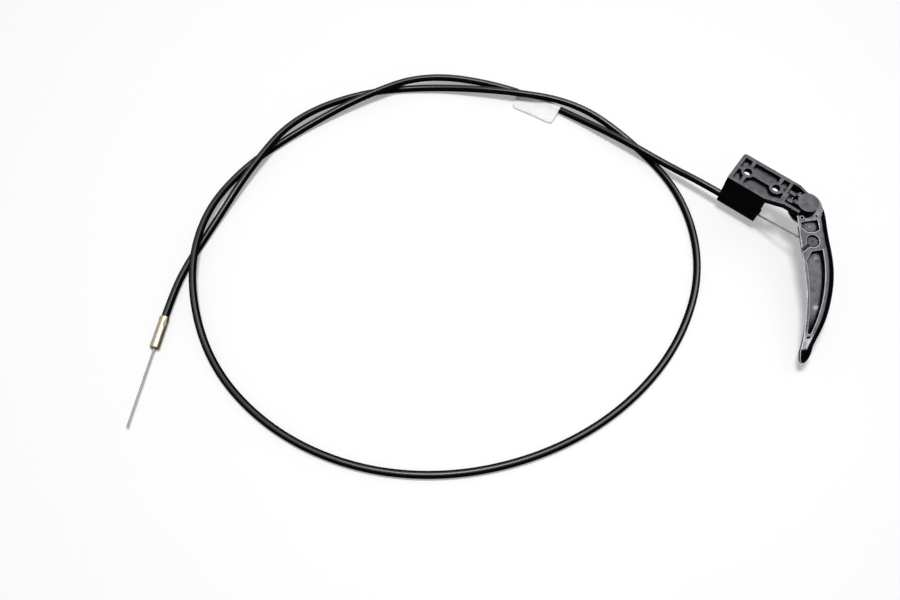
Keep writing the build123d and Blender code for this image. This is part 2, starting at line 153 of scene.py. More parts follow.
# A colour Mix node shares its sockets' names with other kinds of Mix, so they are told apart by number
MIX_FACTOR, MIX_A, MIX_B, MIX_RESULT = 0, 6, 7, 2
PLASTIC_IOR = 1.53
# Shine left on a moulding's walls, so little that they show painted shade
SHADED_WALL_SHINE = 0.002


def linear(code):
    """A colour written as sRGB hex, in linear light."""
    parts = [int(code[i : i + 2], 16) / 255 for i in (1, 3, 5)]
    return tuple(p / 12.92 if p <= 0.04045 else ((p + 0.055) / 1.055) ** 2.4 for p in parts) + (1.0,)


WHITE = linear("#ffffff")
# Black plastics throw back a slightly violet light
BLACK_TINT = linear("#f1eff8")


class SheathSettings(bpy.types.PropertyGroup):
    """Sizes and colour of the extruded sheath"""

    diameter: FloatProperty(name="Diameter", description="Outside diameter", default=0.005, unit="LENGTH")
    length: FloatProperty(name="Length", description="Length along its middle", default=1.529, unit="LENGTH")
    colour: FloatVectorProperty(
        name="Colour", description="Pigment of the PVC", default=linear("#0b0b0d")[:3], subtype="COLOR"
    )


class LabelSettings(bpy.types.PropertyGroup):
    """Sizes of the folded paper label"""

    length: FloatProperty(name="Length", description="Length along the sheath", default=0.034, unit="LENGTH")
    flag: FloatProperty(name="Flag", description="Width that stands out", default=0.0135, unit="LENGTH")
    thickness: FloatProperty(name="Thickness", description="One layer", default=0.00007, unit="LENGTH")


class FerruleSettings(bpy.types.PropertyGroup):
    """Sizes of the crimped ferrule"""

    radius: FloatProperty(name="Radius", description="Outside radius", default=0.0032, unit="LENGTH")
    length: FloatProperty(name="Length", description="Overall length", default=0.0226, unit="LENGTH")
    overlap: FloatProperty(name="Overlap", description="Part over the sheath", default=0.011, unit="LENGTH")
    crimp: FloatProperty(name="Crimp", description="Depth of each crimp", default=0.00036, unit="LENGTH")
    nose: FloatProperty(name="Nose", description="Rounding of the far end", default=0.001, unit="LENGTH")


class WireSettings(bpy.types.PropertyGroup):
    """Sizes of the stranded pull wire"""

    radius: FloatProperty(name="Radius", description="Outside radius", default=0.00065, unit="LENGTH")
    strands: IntProperty(name="Strands", description="Strands in the outer layer", default=12)
    lay: FloatProperty(name="Lay", description="Length of a strand's turn", default=0.017, unit="LENGTH")
    free_length: FloatProperty(
        name="Free length", description="Length beyond the ferrule", default=0.054, unit="LENGTH"
    )


class StageSettings(bpy.types.PropertyGroup):
    """Settings of the camera, the table and the light"""

    lens: FloatProperty(name="Lens", description="Focal length in millimetres", default=37.6)
    floor: FloatVectorProperty(
        name="Table", description="Colour of the table", default=linear("#dfdfe0")[:3], subtype="COLOR"
    )
    power: FloatProperty(name="Power", description="Power of each lamp in watts", default=17.0)
    sky: FloatProperty(name="Fill", description="Strength of the surrounding light", default=0.25)
    glow: FloatProperty(name="Glow", description="White that the table adds where it is seen", default=0.28)


def add_node(tree, kind, values=None, links=None, **settings):
    """Adds a node with its settings, socket values and incoming links."""
    node = tree.nodes.new(kind)
    for name, value in settings.items():
        setattr(node, name, value)
    for socket, value in (values or {}).items():
        node.inputs[socket].default_value = value
    for socket, source in (links or {}).items():
        tree.links.new(source, node.inputs[socket])
    return node


def new_material(name):
    """An empty node material, its tree and the coordinates of the piece that wears it."""
    material = bpy.data.materials.new(name)
    material.use_nodes = True
    tree = material.node_tree
    tree.nodes.clear()
    place = add_node(tree, "ShaderNodeTexCoord").outputs["Object"]
    return material, tree, place


def close_material(tree, shader):
    """Sends a shader to the output of its material."""
    add_node(tree, "ShaderNodeOutputMaterial", links={"Surface": shader.outputs[0]})


def drift(tree, colour_noise, rough_noise, colours, roughness):
    """A colour and a roughness that each drift between two values as their noise says."""
    colour = add_node(
        tree,
        "ShaderNodeMix",
        {MIX_A: colours[0], MIX_B: colours[1]},
        {MIX_FACTOR: colour_noise.outputs["Fac"]},
        data_type="RGBA",
    )
    rough = add_node(
        tree,
        "ShaderNodeMapRange",
        {"To Min": roughness[0], "To Max": roughness[1]},
        {"Value": rough_noise.outputs["Fac"]},
    )
    return colour.outputs[MIX_RESULT], rough.outputs["Result"]


def upward(tree, start, end, low, high):
    """Rises from low to high as a surface turns to face straight up or down."""
    normal = add_node(tree, "ShaderNodeTexCoord").outputs["Normal"]
    parts = add_node(tree, "ShaderNodeSeparateXYZ", links={0: normal})
    upright = add_node(tree, "ShaderNodeMath", links={0: parts.outputs["Z"]}, operation="ABSOLUTE")
    facing = add_node(
        tree,
        "ShaderNodeMapRange",
        {"From Min": start, "From Max": end, "To Min": low, "To Max": high},
        {"Value": upright.outputs[0]},
        interpolation_type="SMOOTHSTEP",
    )
    return facing.outputs["Result"]


def outside_corner_shade(tree, reach_mm):
    """One on open faces, falling to zero in inside corners and narrow pockets, where it takes away shine and
    edge highlight and so paints shade into them.
    """
    shade = add_node(
        tree, "ShaderNodeAmbientOcclusion", {"Distance": reach_mm * MM}, samples=8, only_local=True
    )
    unshaded = add_node(
        tree,
        "ShaderNodeMapRange",
        {"From Min": 0.62, "From Max": 0.77},
        {"Value": shade.outputs["AO"]},
        interpolation_type="SMOOTHSTEP",
    )
    return unshaded.outputs["Result"]


def shine_with_painted_shade(tree, place, unshaded, top, flat):
    """Shine of a moulding: full on its flat top and patchy from handling; taken off its walls and out of its
    corners, which paints shade there.
    """
    level = upward(tree, *flat, SHADED_WALL_SHINE, top)
    cloud = add_node(tree, "ShaderNodeTexNoise", {"Scale": 1 / (5 * MM), "Detail": 5.0}, {"Vector": place})
    handled = add_node(
        tree,
        "ShaderNodeMapRange",
        {"From Min": 0.32, "From Max": 0.68, "To Min": 0.6, "To Max": 1.25},
        {"Value": cloud.outputs["Fac"]},
    )
    patchy = add_node(
        tree, "ShaderNodeMath", links={0: level, 1: handled.outputs["Result"]}, operation="MULTIPLY"
    )
    shine = add_node(
        tree, "ShaderNodeMath", links={0: unshaded, 1: patchy.outputs[0]}, operation="MULTIPLY"
    )
    return shine.outputs[0]


def painted_edge_highlight(tree, rounded, unshaded, edge):
    """How strongly an outside edge takes a painted highlight: where the rounded normal turns away from the
    face's own.
    """
    low, high = edge
    own = add_node(tree, "ShaderNodeNewGeometry").outputs["Normal"]
    turned = add_node(tree, "ShaderNodeVectorMath", links={0: rounded, 1: own}, operation="DOT_PRODUCT")
    sharp = add_node(
        tree, "ShaderNodeMapRange", {"From Min": high, "From Max": low}, {"Value": turned.outputs["Value"]}
    )
    highlighted = add_node(
        tree, "ShaderNodeMath", links={0: sharp.outputs["Result"], 1: unshaded}, operation="MULTIPLY"
    )
    return highlighted.outputs[0]


def moulded_skin(tree, place, colour, edge_highlight_colour, corner_mm, samples, reach_mm, top, flat, edge):
    """Colour, normal and shine of a black moulding with small rounded corners, a painted highlight along its
    outside edges, and painted shade on its walls and in its corners.
    """
    bevel = add_node(tree, "ShaderNodeBevel", {"Radius": corner_mm * MM}, samples=samples)
    rounded = bevel.outputs["Normal"]
    unshaded = outside_corner_shade(tree, reach_mm)
    skin = add_node(
        tree,
        "ShaderNodeMix",
        {MIX_B: linear(edge_highlight_colour)},
        {MIX_FACTOR: painted_edge_highlight(tree, rounded, unshaded, edge), MIX_A: colour},
        data_type="RGBA",
    )
    return skin.outputs[MIX_RESULT], rounded, shine_with_painted_shade(tree, place, unshaded, top, flat)


def black_plastic(tree, colour, rough, shine, bump):
    """Closes the material of a black plastic, whose shine changes over its surface."""
    shader = add_node(
        tree,
        "ShaderNodeBsdfPrincipled",
        {"IOR": PLASTIC_IOR, "Specular Tint": BLACK_TINT},
        {
            "Base Color": colour,
            "Roughness": rough,
            "Specular IOR Level": shine,
            "Normal": bump.outputs["Normal"],
        },
    )
    close_material(tree, shader)


def glass_filled_nylon():
    # Injection-moulded PA66 with glass fibre: dull black, fine grained, greyer where fibres lie at the skin
    material, tree, place = new_material("glass_filled_nylon")
    grain = add_node(tree, "ShaderNodeTexNoise", {"Scale": 1 / (0.5 * MM), "Detail": 4.0}, {"Vector": place})
    flow = add_node(tree, "ShaderNodeTexNoise", {"Scale": 1 / (9 * MM), "Detail": 3.0}, {"Vector": place})
    colour, rough = drift(tree, flow, flow, (linear("#050506"), linear("#0e0e11")), (0.34, 0.5))
    skin, rounded, shine = moulded_skin(
        tree,
        place,
        colour,
        # The pale grey is a painted highlight along the outside edges
        edge_highlight_colour="#5c5c62",
        corner_mm=0.4,
        samples=8,
        reach_mm=2.7,
        top=0.43,
        flat=(0.72, 0.99),
        edge=(0.85, 0.99),
    )
    bump = add_node(
        tree,
        "ShaderNodeBump",
        {"Strength": 0.35, "Distance": 0.03 * MM},
        {"Height": grain.outputs["Fac"], "Normal": rounded},
    )
    black_plastic(tree, skin, rough, shine, bump)
    return material


def polished_abs():
    # Moulded ABS from a polished tool: black gloss with faint sink and scuffs, shiniest at the tip where
    # hands rub it
    material, tree, place = new_material("polished_abs")
    sink = add_node(tree, "ShaderNodeTexNoise", {"Scale": 1 / (14 * MM), "Detail": 2.0}, {"Vector": place})
    scuff = add_node(
        tree,
        "ShaderNodeTexNoise",
        {"Scale": 1 / (1.6 * MM), "Detail": 6.0, "Distortion": 1.4},
        {"Vector": place},
    )
    colour, rough = drift(tree, sink, scuff, (linear("#040405"), linear("#0a0a0d")), (0.1, 0.22))
    skin, rounded, shine = moulded_skin(
        tree,
        place,
        colour,
        # The near-white is a painted highlight along the outside edges
        edge_highlight_colour="#d8d8e2",
        corner_mm=1.1,
        samples=10,
        reach_mm=4.4,
        top=0.44,
        flat=(0.965, 0.99),
        edge=(0.92, 0.997),
    )
    from_tip = add_node(tree, "ShaderNodeVectorMath", {1: TIP_FLAT}, {0: place}, operation="DISTANCE")
    polish = add_node(
        tree,
        "ShaderNodeMapRange",
        {"From Min": 3 * MM, "From Max": 9 * MM, "To Min": 1.6, "To Max": 0.0},
        {"Value": from_tip.outputs["Value"]},
        interpolation_type="SMOOTHSTEP",
    )
    handled = add_node(
        tree,
        "ShaderNodeMath",
        links={0: shine, 1: polish.outputs["Result"], 2: shine},
        operation="MULTIPLY_ADD",
    )
    bump = add_node(
        tree,
        "ShaderNodeBump",
        {"Strength": 0.15, "Distance": 0.12 * MM},
        {"Height": sink.outputs["Fac"], "Normal": rounded},
    )
    black_plastic(tree, skin, rough, handled.outputs[0], bump)
    return material


def extruded_pvc(pigment):
    # Extruded PVC sheath: satin black, with the slow unevenness of the spiral core under the skin
    material, tree, place = new_material("extruded_pvc")
    grain = add_node(tree, "ShaderNodeTexNoise", {"Scale": 1 / (0.8 * MM), "Detail": 4.0}, {"Vector": place})
    patch = add_node(tree, "ShaderNodeTexNoise", {"Scale": 1 / (22 * MM), "Detail": 3.0}, {"Vector": place})
    colours = [(*(part * share for part in pigment), 1.0) for share in (0.75, 1.3)]
    colour, rough = drift(tree, patch, patch, colours, (0.24, 0.34))
    # Shine only along the top of the tube and none down its sides: painted shade on the sides and a painted
    # highlight band on top
    shine = upward(tree, 0.85, 0.995, 0.001, 0.42)
    bump = add_node(
        tree, "ShaderNodeBump", {"Strength": 0.25, "Distance": 0.03 * MM}, {"Height": grain.outputs["Fac"]}
    )
    black_plastic(tree, colour, rough, shine, bump)
    return material


def metal(name, colours, roughness, grain_mm, relief, painted_side_shade=None):
    """A metal with drifting colour, a fine grain and, if painted_side_shade names a colour, painted shade of
    that colour down its sides.
    """
    material, tree, place = new_material(name)
    cloud = add_node(tree, "ShaderNodeTexNoise", {"Scale": 1 / (3 * MM), "Detail": 4.0}, {"Vector": place})
    grain = add_node(
        tree, "ShaderNodeTexNoise", {"Scale": 1 / (grain_mm * MM), "Detail": 5.0}, {"Vector": place}
    )
    colour, rough = drift(tree, cloud, grain, [linear(code) for code in colours], roughness)
    if painted_side_shade:
        # Painted shade: the colour turns dark where the surface faces sideways
        side_shaded = add_node(
            tree,
            "ShaderNodeMix",
            {MIX_A: linear(painted_side_shade)},
            {MIX_FACTOR: upward(tree, 0.3, 0.85, 0.0, 1.0), MIX_B: colour},
            data_type="RGBA",
        )
        colour = side_shaded.outputs[MIX_RESULT]
    bump = add_node(
        tree, "ShaderNodeBump", {"Strength": relief, "Distance": 0.04 * MM}, {"Height": grain.outputs["Fac"]}
    )
    shader = add_node(
        tree,
        "ShaderNodeBsdfPrincipled",
        {"Metallic": 1.0},
        {"Base Color": colour, "Roughness": rough, "Normal": bump.outputs["Normal"]},
    )
    close_material(tree, shader)
    return material


def passivated_steel():
    # Zinc-plated steel with a thin chromate: pale champagne that drifts, and a drawn, satin skin
    # The dark brown down its sides is painted shade
    return metal(
        "passivated_steel", ("#958a76", "#b5a895"), (0.3, 0.42), grain_mm=0.25, relief=0.2, painted_side_shade="#3e3222"
    )


def galvanised_wire():
    # Galvanised spring-steel wire: mid grey, a little brighter along each strand's crown
    return metal("galvanised_wire", ("#7c7e80", "#939597"), (0.45, 0.6), grain_mm=0.2, relief=0.1)


def cast_zinc():
    # Die-cast zinc: dark, dull grey with a slightly pitted skin
    return metal("cast_zinc", ("#2e2e2d", "#3e3e3c"), (0.45, 0.65), grain_mm=0.35, relief=0.5)


def turned_steel():
    # Free-cutting steel, turned and zinc plated: grey with a soft shine
    return metal("turned_steel", ("#7d7e80", "#a3a4a6"), (0.28, 0.45), grain_mm=0.22, relief=0.3)


def label_paper():
    # Uncoated label stock: matte white with a faint fibre mottle
    material, tree, place = new_material("label_paper")
    fibre = add_node(tree, "ShaderNodeTexNoise", {"Scale": 1 / (0.6 * MM), "Detail": 6.0}, {"Vector": place})
    colour, rough = drift(tree, fibre, fibre, (linear("#f8f8f7"), linear("#fefefd")), (0.75, 0.92))
    bump = add_node(
        tree, "ShaderNodeBump", {"Strength": 0.2, "Distance": 0.02 * MM}, {"Height": fibre.outputs["Fac"]}
    )
    shader = add_node(
        tree,
        "ShaderNodeBsdfPrincipled",
        {"Specular IOR Level": 0.3},
        {"Base Color": colour, "Roughness": rough, "Normal": bump.outputs["Normal"]},
    )
    close_material(tree, shader)
    return material


def seen_rays(tree):
    """One for camera, glossy and transmission rays, so that mirrors show the same white as the camera."""
    path = add_node(tree, "ShaderNodeLightPath").outputs
    mirrored = add_node(
        tree,
        "ShaderNodeMath",
        links={0: path["Is Glossy Ray"], 1: path["Is Transmission Ray"]},
        operation="MAXIMUM",
    )
    seen = add_node(
        tree, "ShaderNodeMath", links={0: path["Is Camera Ray"], 1: mirrored.outputs[0]}, operation="MAXIMUM"
    )
    return seen.outputs[0]


def painted_table(colour, glow):
    # Painted white table top: even and matte, with a little white of its own where it is seen
    material, tree, place = new_material("painted_table")
    mottle = add_node(
        tree, "ShaderNodeTexNoise", {"Scale": 1 / (111 * MM), "Detail": 2.0}, {"Vector": place}
    )
    rough = add_node(
        tree, "ShaderNodeMapRange", {"To Min": 0.5, "To Max": 0.6}, {"Value": mottle.outputs["Fac"]}
    )
    paint = add_node(
        tree,
        "ShaderNodeBsdfPrincipled",
        {"Base Color": (*colour, 1.0), "Specular IOR Level": 0.2},
        {"Roughness": rough.outputs["Result"]},
    )
    seen = add_node(tree, "ShaderNodeMath", {1: glow}, {0: seen_rays(tree)}, operation="MULTIPLY")
    white = add_node(tree, "ShaderNodeEmission", {"Color": WHITE}, {"Strength": seen.outputs[0]})
    both = add_node(tree, "ShaderNodeAddShader", links={0: paint.outputs[0], 1: white.outputs[0]})
    close_material(tree, both)
    return material


def add_object(name, mesh, body, material):
    """Links a mesh as a piece that rides on a body."""
    piece = bpy.data.objects.new(name, mesh)
    bpy.context.scene.collection.objects.link(piece)
    if material:
        mesh.materials.clear()
        mesh.materials.append(material)
    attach(piece, body)
    return piece


def smooth_copy(name, node, body, material, crease=32.0):
    """A merged copy of a CAD node with smooth faces between its sharp edges, which stands for the node."""
    mesh = NODES[node].data.copy()
    work = bmesh.new()
    work.from_mesh(mesh)
    bmesh.ops.remove_doubles(work, verts=work.verts, dist=0.002 * MM)
    bmesh.ops.dissolve_degenerate(work, dist=0.001 * MM, edges=work.edges)
    for face in work.faces:
        face.smooth = True
    for edge in work.edges:
        edge.smooth = len(edge.link_faces) == 2 and edge.calc_face_angle(0.0) < math.radians(crease)
    work.to_mesh(mesh)
    work.free()
    if mesh.has_custom_normals:
        mesh.normals_split_custom_set([(0.0, 0.0, 0.0)] * len(mesh.loops))
    piece = add_object(name, mesh, body, material)
    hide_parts(node)
    return piece


def sheath_line():
    """Points along the sheath's own spline, evenly read from the curve without its bevel."""
    bare = bpy.data.objects["sheath"].data.copy()
    bare.bevel_depth = 0.0
    bare.use_fill_caps = False
    holder = bpy.data.objects.new("sheath_line", bare)
    line = bpy.data.meshes.new_from_object(holder)
    points = [v.co.copy() for v in line.vertices]
    bpy.data.objects.remove(holder)
    bpy.data.curves.remove(bare)
    bpy.data.meshes.remove(line)
    return points


def stretch_of(points, middle, length, steps):
    """Evenly spaced points and directions over a length of the line, centred nearest to middle."""
    nearest = min(range(len(points)), key=lambda i: (points[i] - middle).length)
    along = [0.0]
    for a, b in zip(points, points[1:]):
        along.append(along[-1] + (b - a).length)
    start = along[nearest] - length / 2
    frames = []
    for step in range(steps + 1):
        want = start + length * step / steps
        i = max(1, next(k for k, d in enumerate(along) if d >= want))
        share = (want - along[i - 1]) / (along[i] - along[i - 1])
        here = points[i - 1].lerp(points[i], share)
        frames.append((here, (points[i] - points[i - 1]).normalized()))
    return frames


def grid_mesh(name, rings, caps=False):
    """Skins equal rings of points with quads that face outwards."""
    work = bmesh.new()
    rows = [[work.verts.new(p) for p in ring] for ring in rings]
    for a, b in zip(rows, rows[1:]):
        for i in range(len(a)):
            j = (i + 1) % len(a)
            work.faces.new((a[i], a[j], b[j], b[i])).smooth = True
    if caps:
        work.faces.new(rows[0][::-1])
        work.faces.new(rows[-1])
    bmesh.ops.recalc_face_normals(work, faces=work.faces)
    mesh = bpy.data.meshes.new(name)
    work.to_mesh(mesh)
    work.free()
    return mesh


def aim(thing, place, target):
    """Puts a lamp or the camera in its place, facing its target."""
    thing.location = place
    thing.rotation_euler = (Vector(target) - thing.location).to_track_quat("-Z", "Y").to_euler()
    bpy.context.scene.collection.objects.link(thing)


class HOODCABLE_OT_sheath(bpy.types.Operator):
    """Lays the black sheath along its route"""

    bl_idname = "hoodcable.sheath"
    bl_label = "Sheath"

    def execute(self, context):
        settings = context.scene.hood_sheath
        curve = bpy.data.curves.new("sheath", "CURVE")
        curve.dimensions = "3D"
        spline = curve.splines.new("NURBS")
        spline.points.add(len(SHEATH_POINTS) - 1)
        for point, place in zip(spline.points, SHEATH_POINTS):
            point.co = (*place, 1.0)
        spline.order_u = 3
        spline.use_endpoint_u = True
        spline.resolution_u = 16
        spline.use_smooth = True
        curve.bevel_depth = settings.diameter / 2
        curve.bevel_resolution = 6
        curve.use_fill_caps = True
        curve.materials.append(extruded_pvc(settings.colour))
        sheath = bpy.data.objects.new("sheath", curve)
        context.scene.collection.objects.link(sheath)
        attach(sheath, "bracket")
        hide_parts("outer_sheath")
        return {"FINISHED"}


class HOODCABLE_OT_label(bpy.types.Operator):
    """Folds the blank paper label round the sheath"""

    bl_idname = "hoodcable.label"
    bl_label = "Label"

    def execute(self, context):
        settings = context.scene.hood_label
        sleeve = context.scene.hood_sheath.diameter / 2 + LABEL_GAP
        frames = stretch_of(sheath_line(), LABEL_MIDDLE, settings.length, LABEL_STEPS)
        rings = []
        for step, (here, way) in enumerate(frames):
            share = step / LABEL_STEPS
            inside = way.cross(UP).normalized()
            if inside.y > 0:
                inside = -inside
            near_end = max(0.0, 1 - min(share, 1 - share) / LABEL_CORNER_RUN)
            flag = settings.flag * (1 - LABEL_CORNER * near_end**2)
            curl = LABEL_CURL * math.sin(math.pi * share)
            rings.append(self.section(here, inside, sleeve, flag, curl, settings.thickness))
        mesh = grid_mesh("label_flag", rings, caps=True)
        label = add_object("label_flag", mesh, "bracket", label_paper())
        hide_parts("cable_label")
        return {"FINISHED"}

    def section(self, here, inside, sleeve, flag, curl, paper):
        """One cross-section of the paper: the wrap round the sheath and the two layers of the flag."""
        outer, inner = [], []
        for k in range(LABEL_WRAP_STEPS + 1):
            angle = math.radians(LABEL_MOUTH / 2 + k * (360 - LABEL_MOUTH) / LABEL_WRAP_STEPS)
            spoke = inside * math.cos(angle) + UP * math.sin(angle)
            outer.append(here + spoke * (sleeve + paper))
            inner.append(here + spoke * sleeve)
        tips = []
        for k in range(1, LABEL_FLAG_STEPS + 1):
            share = k / LABEL_FLAG_STEPS
            drop = LABEL_DROP * min(1.0, k / LABEL_FOLD_STEPS)
            tips.append((sleeve + (flag - sleeve) * share, curl * share**2 - drop))
        lower, upper, under_gap, over_gap = (
            [here + inside * reach + UP * (height + lift) for reach, height in tips]
            for lift in (-paper, paper, -LABEL_GAP, LABEL_GAP)
        )
        return outer + lower + under_gap[::-1] + inner[::-1] + over_gap + upper[::-1]


class HOODCABLE_OT_ferrule(bpy.types.Operator):
    """Turns the ferrule and presses its crimps"""

    bl_idname = "hoodcable.ferrule"
    bl_label = "Ferrule"

    def execute(self, context):
        settings = context.scene.hood_ferrule
        sheath_bore = context.scene.hood_sheath.diameter / 2 + SHEATH_CLEARANCE
        wire_bore = context.scene.hood_wire.radius + WIRE_CLEARANCE
        start = TAIL_END - TAIL * settings.overlap
        side = TAIL.cross(UP).normalized()
        rings = []
        for along, radius in self.profile(settings, sheath_bore, wire_bore):
            ring = []
            for k in range(FERRULE_AROUND):
                turn = 2 * math.pi * k / FERRULE_AROUND
                pressed = radius - self.dent(settings, along, radius, turn)
                spoke = side * math.cos(turn) + UP * math.sin(turn)
                ring.append(start + TAIL * along + spoke * pressed)
            rings.append(ring)
        rings.append(rings[0])
        mesh = grid_mesh("ferrule_sleeve", rings)
        work = bmesh.new()
        work.from_mesh(mesh)
        bmesh.ops.remove_doubles(work, verts=work.verts, dist=0.001 * MM)
        bmesh.ops.recalc_face_normals(work, faces=work.faces)
        work.to_mesh(mesh)
        work.free()
        ferrule = add_object("ferrule_sleeve", mesh, "bracket", passivated_steel())
        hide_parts("end_ferrule")
        return {"FINISHED"}

    def profile(self, settings, sheath_bore, wire_bore):
        """Distances and radii from the seat of the sheath out round the skin and back up the wire's bore."""
        length, overlap, nose, skin = settings.length, settings.overlap, settings.nose, settings.radius
        points = [(overlap, sheath_bore), (BORE_CHAMFER, sheath_bore), (0.0, sheath_bore + MOUTH_FLARE)]
        points += [(along * MM, skin - depth * MM) for along, depth in FERRULE_LIP]
        lip = FERRULE_LIP[-1][0] * MM
        for k in range(1, FERRULE_STEPS + 1):
            points.append((lip + (length - lip - nose) * k / FERRULE_STEPS, skin))
        for k in range(1, NOSE_STEPS + 1):
            turn = math.pi / 2 * k / NOSE_STEPS
            points.append((length - nose * (1 - math.sin(turn)), skin - nose * (1 - math.cos(turn))))
        points += [(length, wire_bore + BORE_CHAMFER), (length - BORE_CHAMFER, wire_bore)]
        points.append((overlap, wire_bore))
        return points

    def dent(self, settings, along, radius, turn):
        """How deep the crimps press the skin. The bores, the lip and the nose stay as turned."""
        if radius <= settings.radius - SKIN_DEPTH:
            return 0.0
        across = 0.5 - math.cos(CRIMPS * turn) * 0.5
        away = (along - settings.overlap * CRIMP_MIDDLE) / CRIMP_REACH
        return settings.crimp * across**2 * max(0.0, 1 - away**2) ** 1.5


def strand_tree(material):
    """Geometry nodes that lay a ring of strands round a core along a straight line, twisted at the lay."""
    tree = bpy.data.node_groups.new("twisted_strands", "GeometryNodeTree")
    sockets = tree.interface
    sockets.new_socket("Geometry", in_out="OUTPUT", socket_type="NodeSocketGeometry")
    for name, kind in (
        ("Start", "NodeSocketVector"),
        ("End", "NodeSocketVector"),
        ("Radius", "NodeSocketFloat"),
        ("Strands", "NodeSocketInt"),
        ("Strand Radius", "NodeSocketFloat"),
        ("Lay", "NodeSocketFloat"),
        ("Steps", "NodeSocketInt"),
    ):
        sockets.new_socket(name, in_out="INPUT", socket_type=kind)
    given = add_node(tree, "NodeGroupInput").outputs
    line = add_node(
        tree, "GeometryNodeCurvePrimitiveLine", links={"Start": given["Start"], "End": given["End"]}
    )
    steps = add_node(
        tree, "GeometryNodeResampleCurve", links={"Curve": line.outputs["Curve"], "Count": given["Steps"]}
    )
    along = add_node(tree, "GeometryNodeSplineParameter")
    turns = add_node(
        tree, "ShaderNodeMath", links={0: along.outputs["Length"], 1: given["Lay"]}, operation="DIVIDE"
    )
    angle = add_node(tree, "ShaderNodeMath", {1: 2 * math.pi}, {0: turns.outputs[0]}, operation="MULTIPLY")
    twisted = add_node(
        tree, "GeometryNodeSetCurveTilt", links={"Curve": steps.outputs["Curve"], "Tilt": angle.outputs[0]}
    )
    ring_radius = add_node(
        tree, "ShaderNodeMath", links={0: given["Radius"], 1: given["Strand Radius"]}, operation="SUBTRACT"
    )
    ring = add_node(
        tree,
        "GeometryNodeMeshCircle",
        links={"Vertices": given["Strands"], "Radius": ring_radius.outputs[0]},
    )
    strand = add_node(
        tree,
        "GeometryNodeCurvePrimitiveCircle",
        {"Resolution": STRAND_SIDES},
        {"Radius": given["Strand Radius"]},
    )
    placed = add_node(
        tree,
        "GeometryNodeInstanceOnPoints",
        links={"Points": ring.outputs["Mesh"], "Instance": strand.outputs["Curve"]},
    )
    strands = add_node(tree, "GeometryNodeRealizeInstances", links={"Geometry": placed.outputs["Instances"]})
    core_radius = add_node(
        tree,
        "ShaderNodeMath",
        links={0: ring_radius.outputs[0], 1: given["Strand Radius"]},
        operation="SUBTRACT",
    )
    core = add_node(
        tree,
        "GeometryNodeCurvePrimitiveCircle",
        {"Resolution": CORE_SIDES},
        {"Radius": core_radius.outputs[0]},
    )
    profile = add_node(tree, "GeometryNodeJoinGeometry")
    tree.links.new(strands.outputs[0], profile.inputs[0])
    tree.links.new(core.outputs["Curve"], profile.inputs[0])
    swept = add_node(
        tree,
        "GeometryNodeCurveToMesh",
        {"Fill Caps": True},
        {"Curve": twisted.outputs["Curve"], "Profile Curve": profile.outputs[0]},
    )
    real = add_node(tree, "GeometryNodeRealizeInstances", links={"Geometry": swept.outputs["Mesh"]})
    dressed = add_node(
        tree, "GeometryNodeSetMaterial", {"Material": material}, {"Geometry": real.outputs[0]}
    )
    add_node(tree, "NodeGroupOutput", links={"Geometry": dressed.outputs["Geometry"]})
    return tree


def stranded_wire(name, start, end, body, node, tree, settings):
    """Makes one straight stranded wire as a plain mesh, which stands for a CAD node."""
    holder = bpy.data.objects.new(name + "_maker", bpy.data.meshes.new(name + "_maker"))
    bpy.context.scene.collection.objects.link(holder)
    maker = holder.modifiers.new("strands", "NODES")
    maker.node_group = tree
    count = settings.strands
    strand = settings.radius * math.sin(math.pi / count) / (1 + math.sin(math.pi / count))
    values = {
        "Start": start,
        "End": end,
        "Radius": settings.radius,
        "Strands": count,
        "Strand Radius": strand,
        "Lay": settings.lay,
        "Steps": int((end - start).length / STRAND_STEP),
    }
    for item in tree.interface.items_tree:
        if item.in_out == "INPUT":
            maker[item.identifier] = values[item.name]
    holder.update_tag()
    graph = bpy.context.evaluated_depsgraph_get()
    mesh = bpy.data.meshes.new_from_object(holder.evaluated_get(graph))
    bpy.data.objects.remove(holder)
    for face in mesh.polygons:
        face.use_smooth = len(face.vertices) == 4
    wire = add_object(name, mesh, body, None)
    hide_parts(node)
    return wire


class HOODCABLE_OT_wires(bpy.types.Operator):
    """Lays the stranded pull wire at the lever and beyond the ferrule"""

    bl_idname = "hoodcable.wires"
    bl_label = "Pull wire"

    def execute(self, context):
        settings = context.scene.hood_wire
        ferrule = context.scene.hood_ferrule
        tree = strand_tree(galvanised_wire())
        low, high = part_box("cable_barrel")
        nipple = Vector(((low[0] + high[0]) / 2, (low[1] + high[1]) / 2, NIPPLE_Z))
        start = nipple + (SHEATH_MOUTH - nipple).normalized() * WIRE_START
        stranded_wire("pull_wire_strands", start, SHEATH_MOUTH, "pull_wire", "lever_wire", tree, settings)
        face = TAIL_END + TAIL * (ferrule.length - ferrule.overlap)
        seat = face - TAIL * COAT_SEAT
        end = face + TAIL * settings.free_length
        wire = stranded_wire("free_wire_strands", seat, end, "free_wire", "free_wire", tree, settings)
        self.coat(wire.data, seat, face + TAIL * COAT_PROUD, settings.radius + COAT_THICKNESS)
        return {"FINISHED"}

    def coat(self, mesh, start, end, radius):
        """Adds the smooth coat that the strands run in inside the ferrule."""
        work = bmesh.new()
        work.from_mesh(mesh)
        turn = TAIL.to_track_quat("Z", "Y").to_matrix().to_4x4()
        place = Matrix.Translation((start + end) / 2) @ turn
        depth = (end - start).length
        added = bmesh.ops.create_cone(
            work, cap_ends=True, segments=40, radius1=radius, radius2=radius, depth=depth, matrix=place
        )
        for vert in added["verts"]:
            for face in vert.link_faces:
                face.smooth = len(face.verts) == 4
        work.to_mesh(mesh)
        work.free()


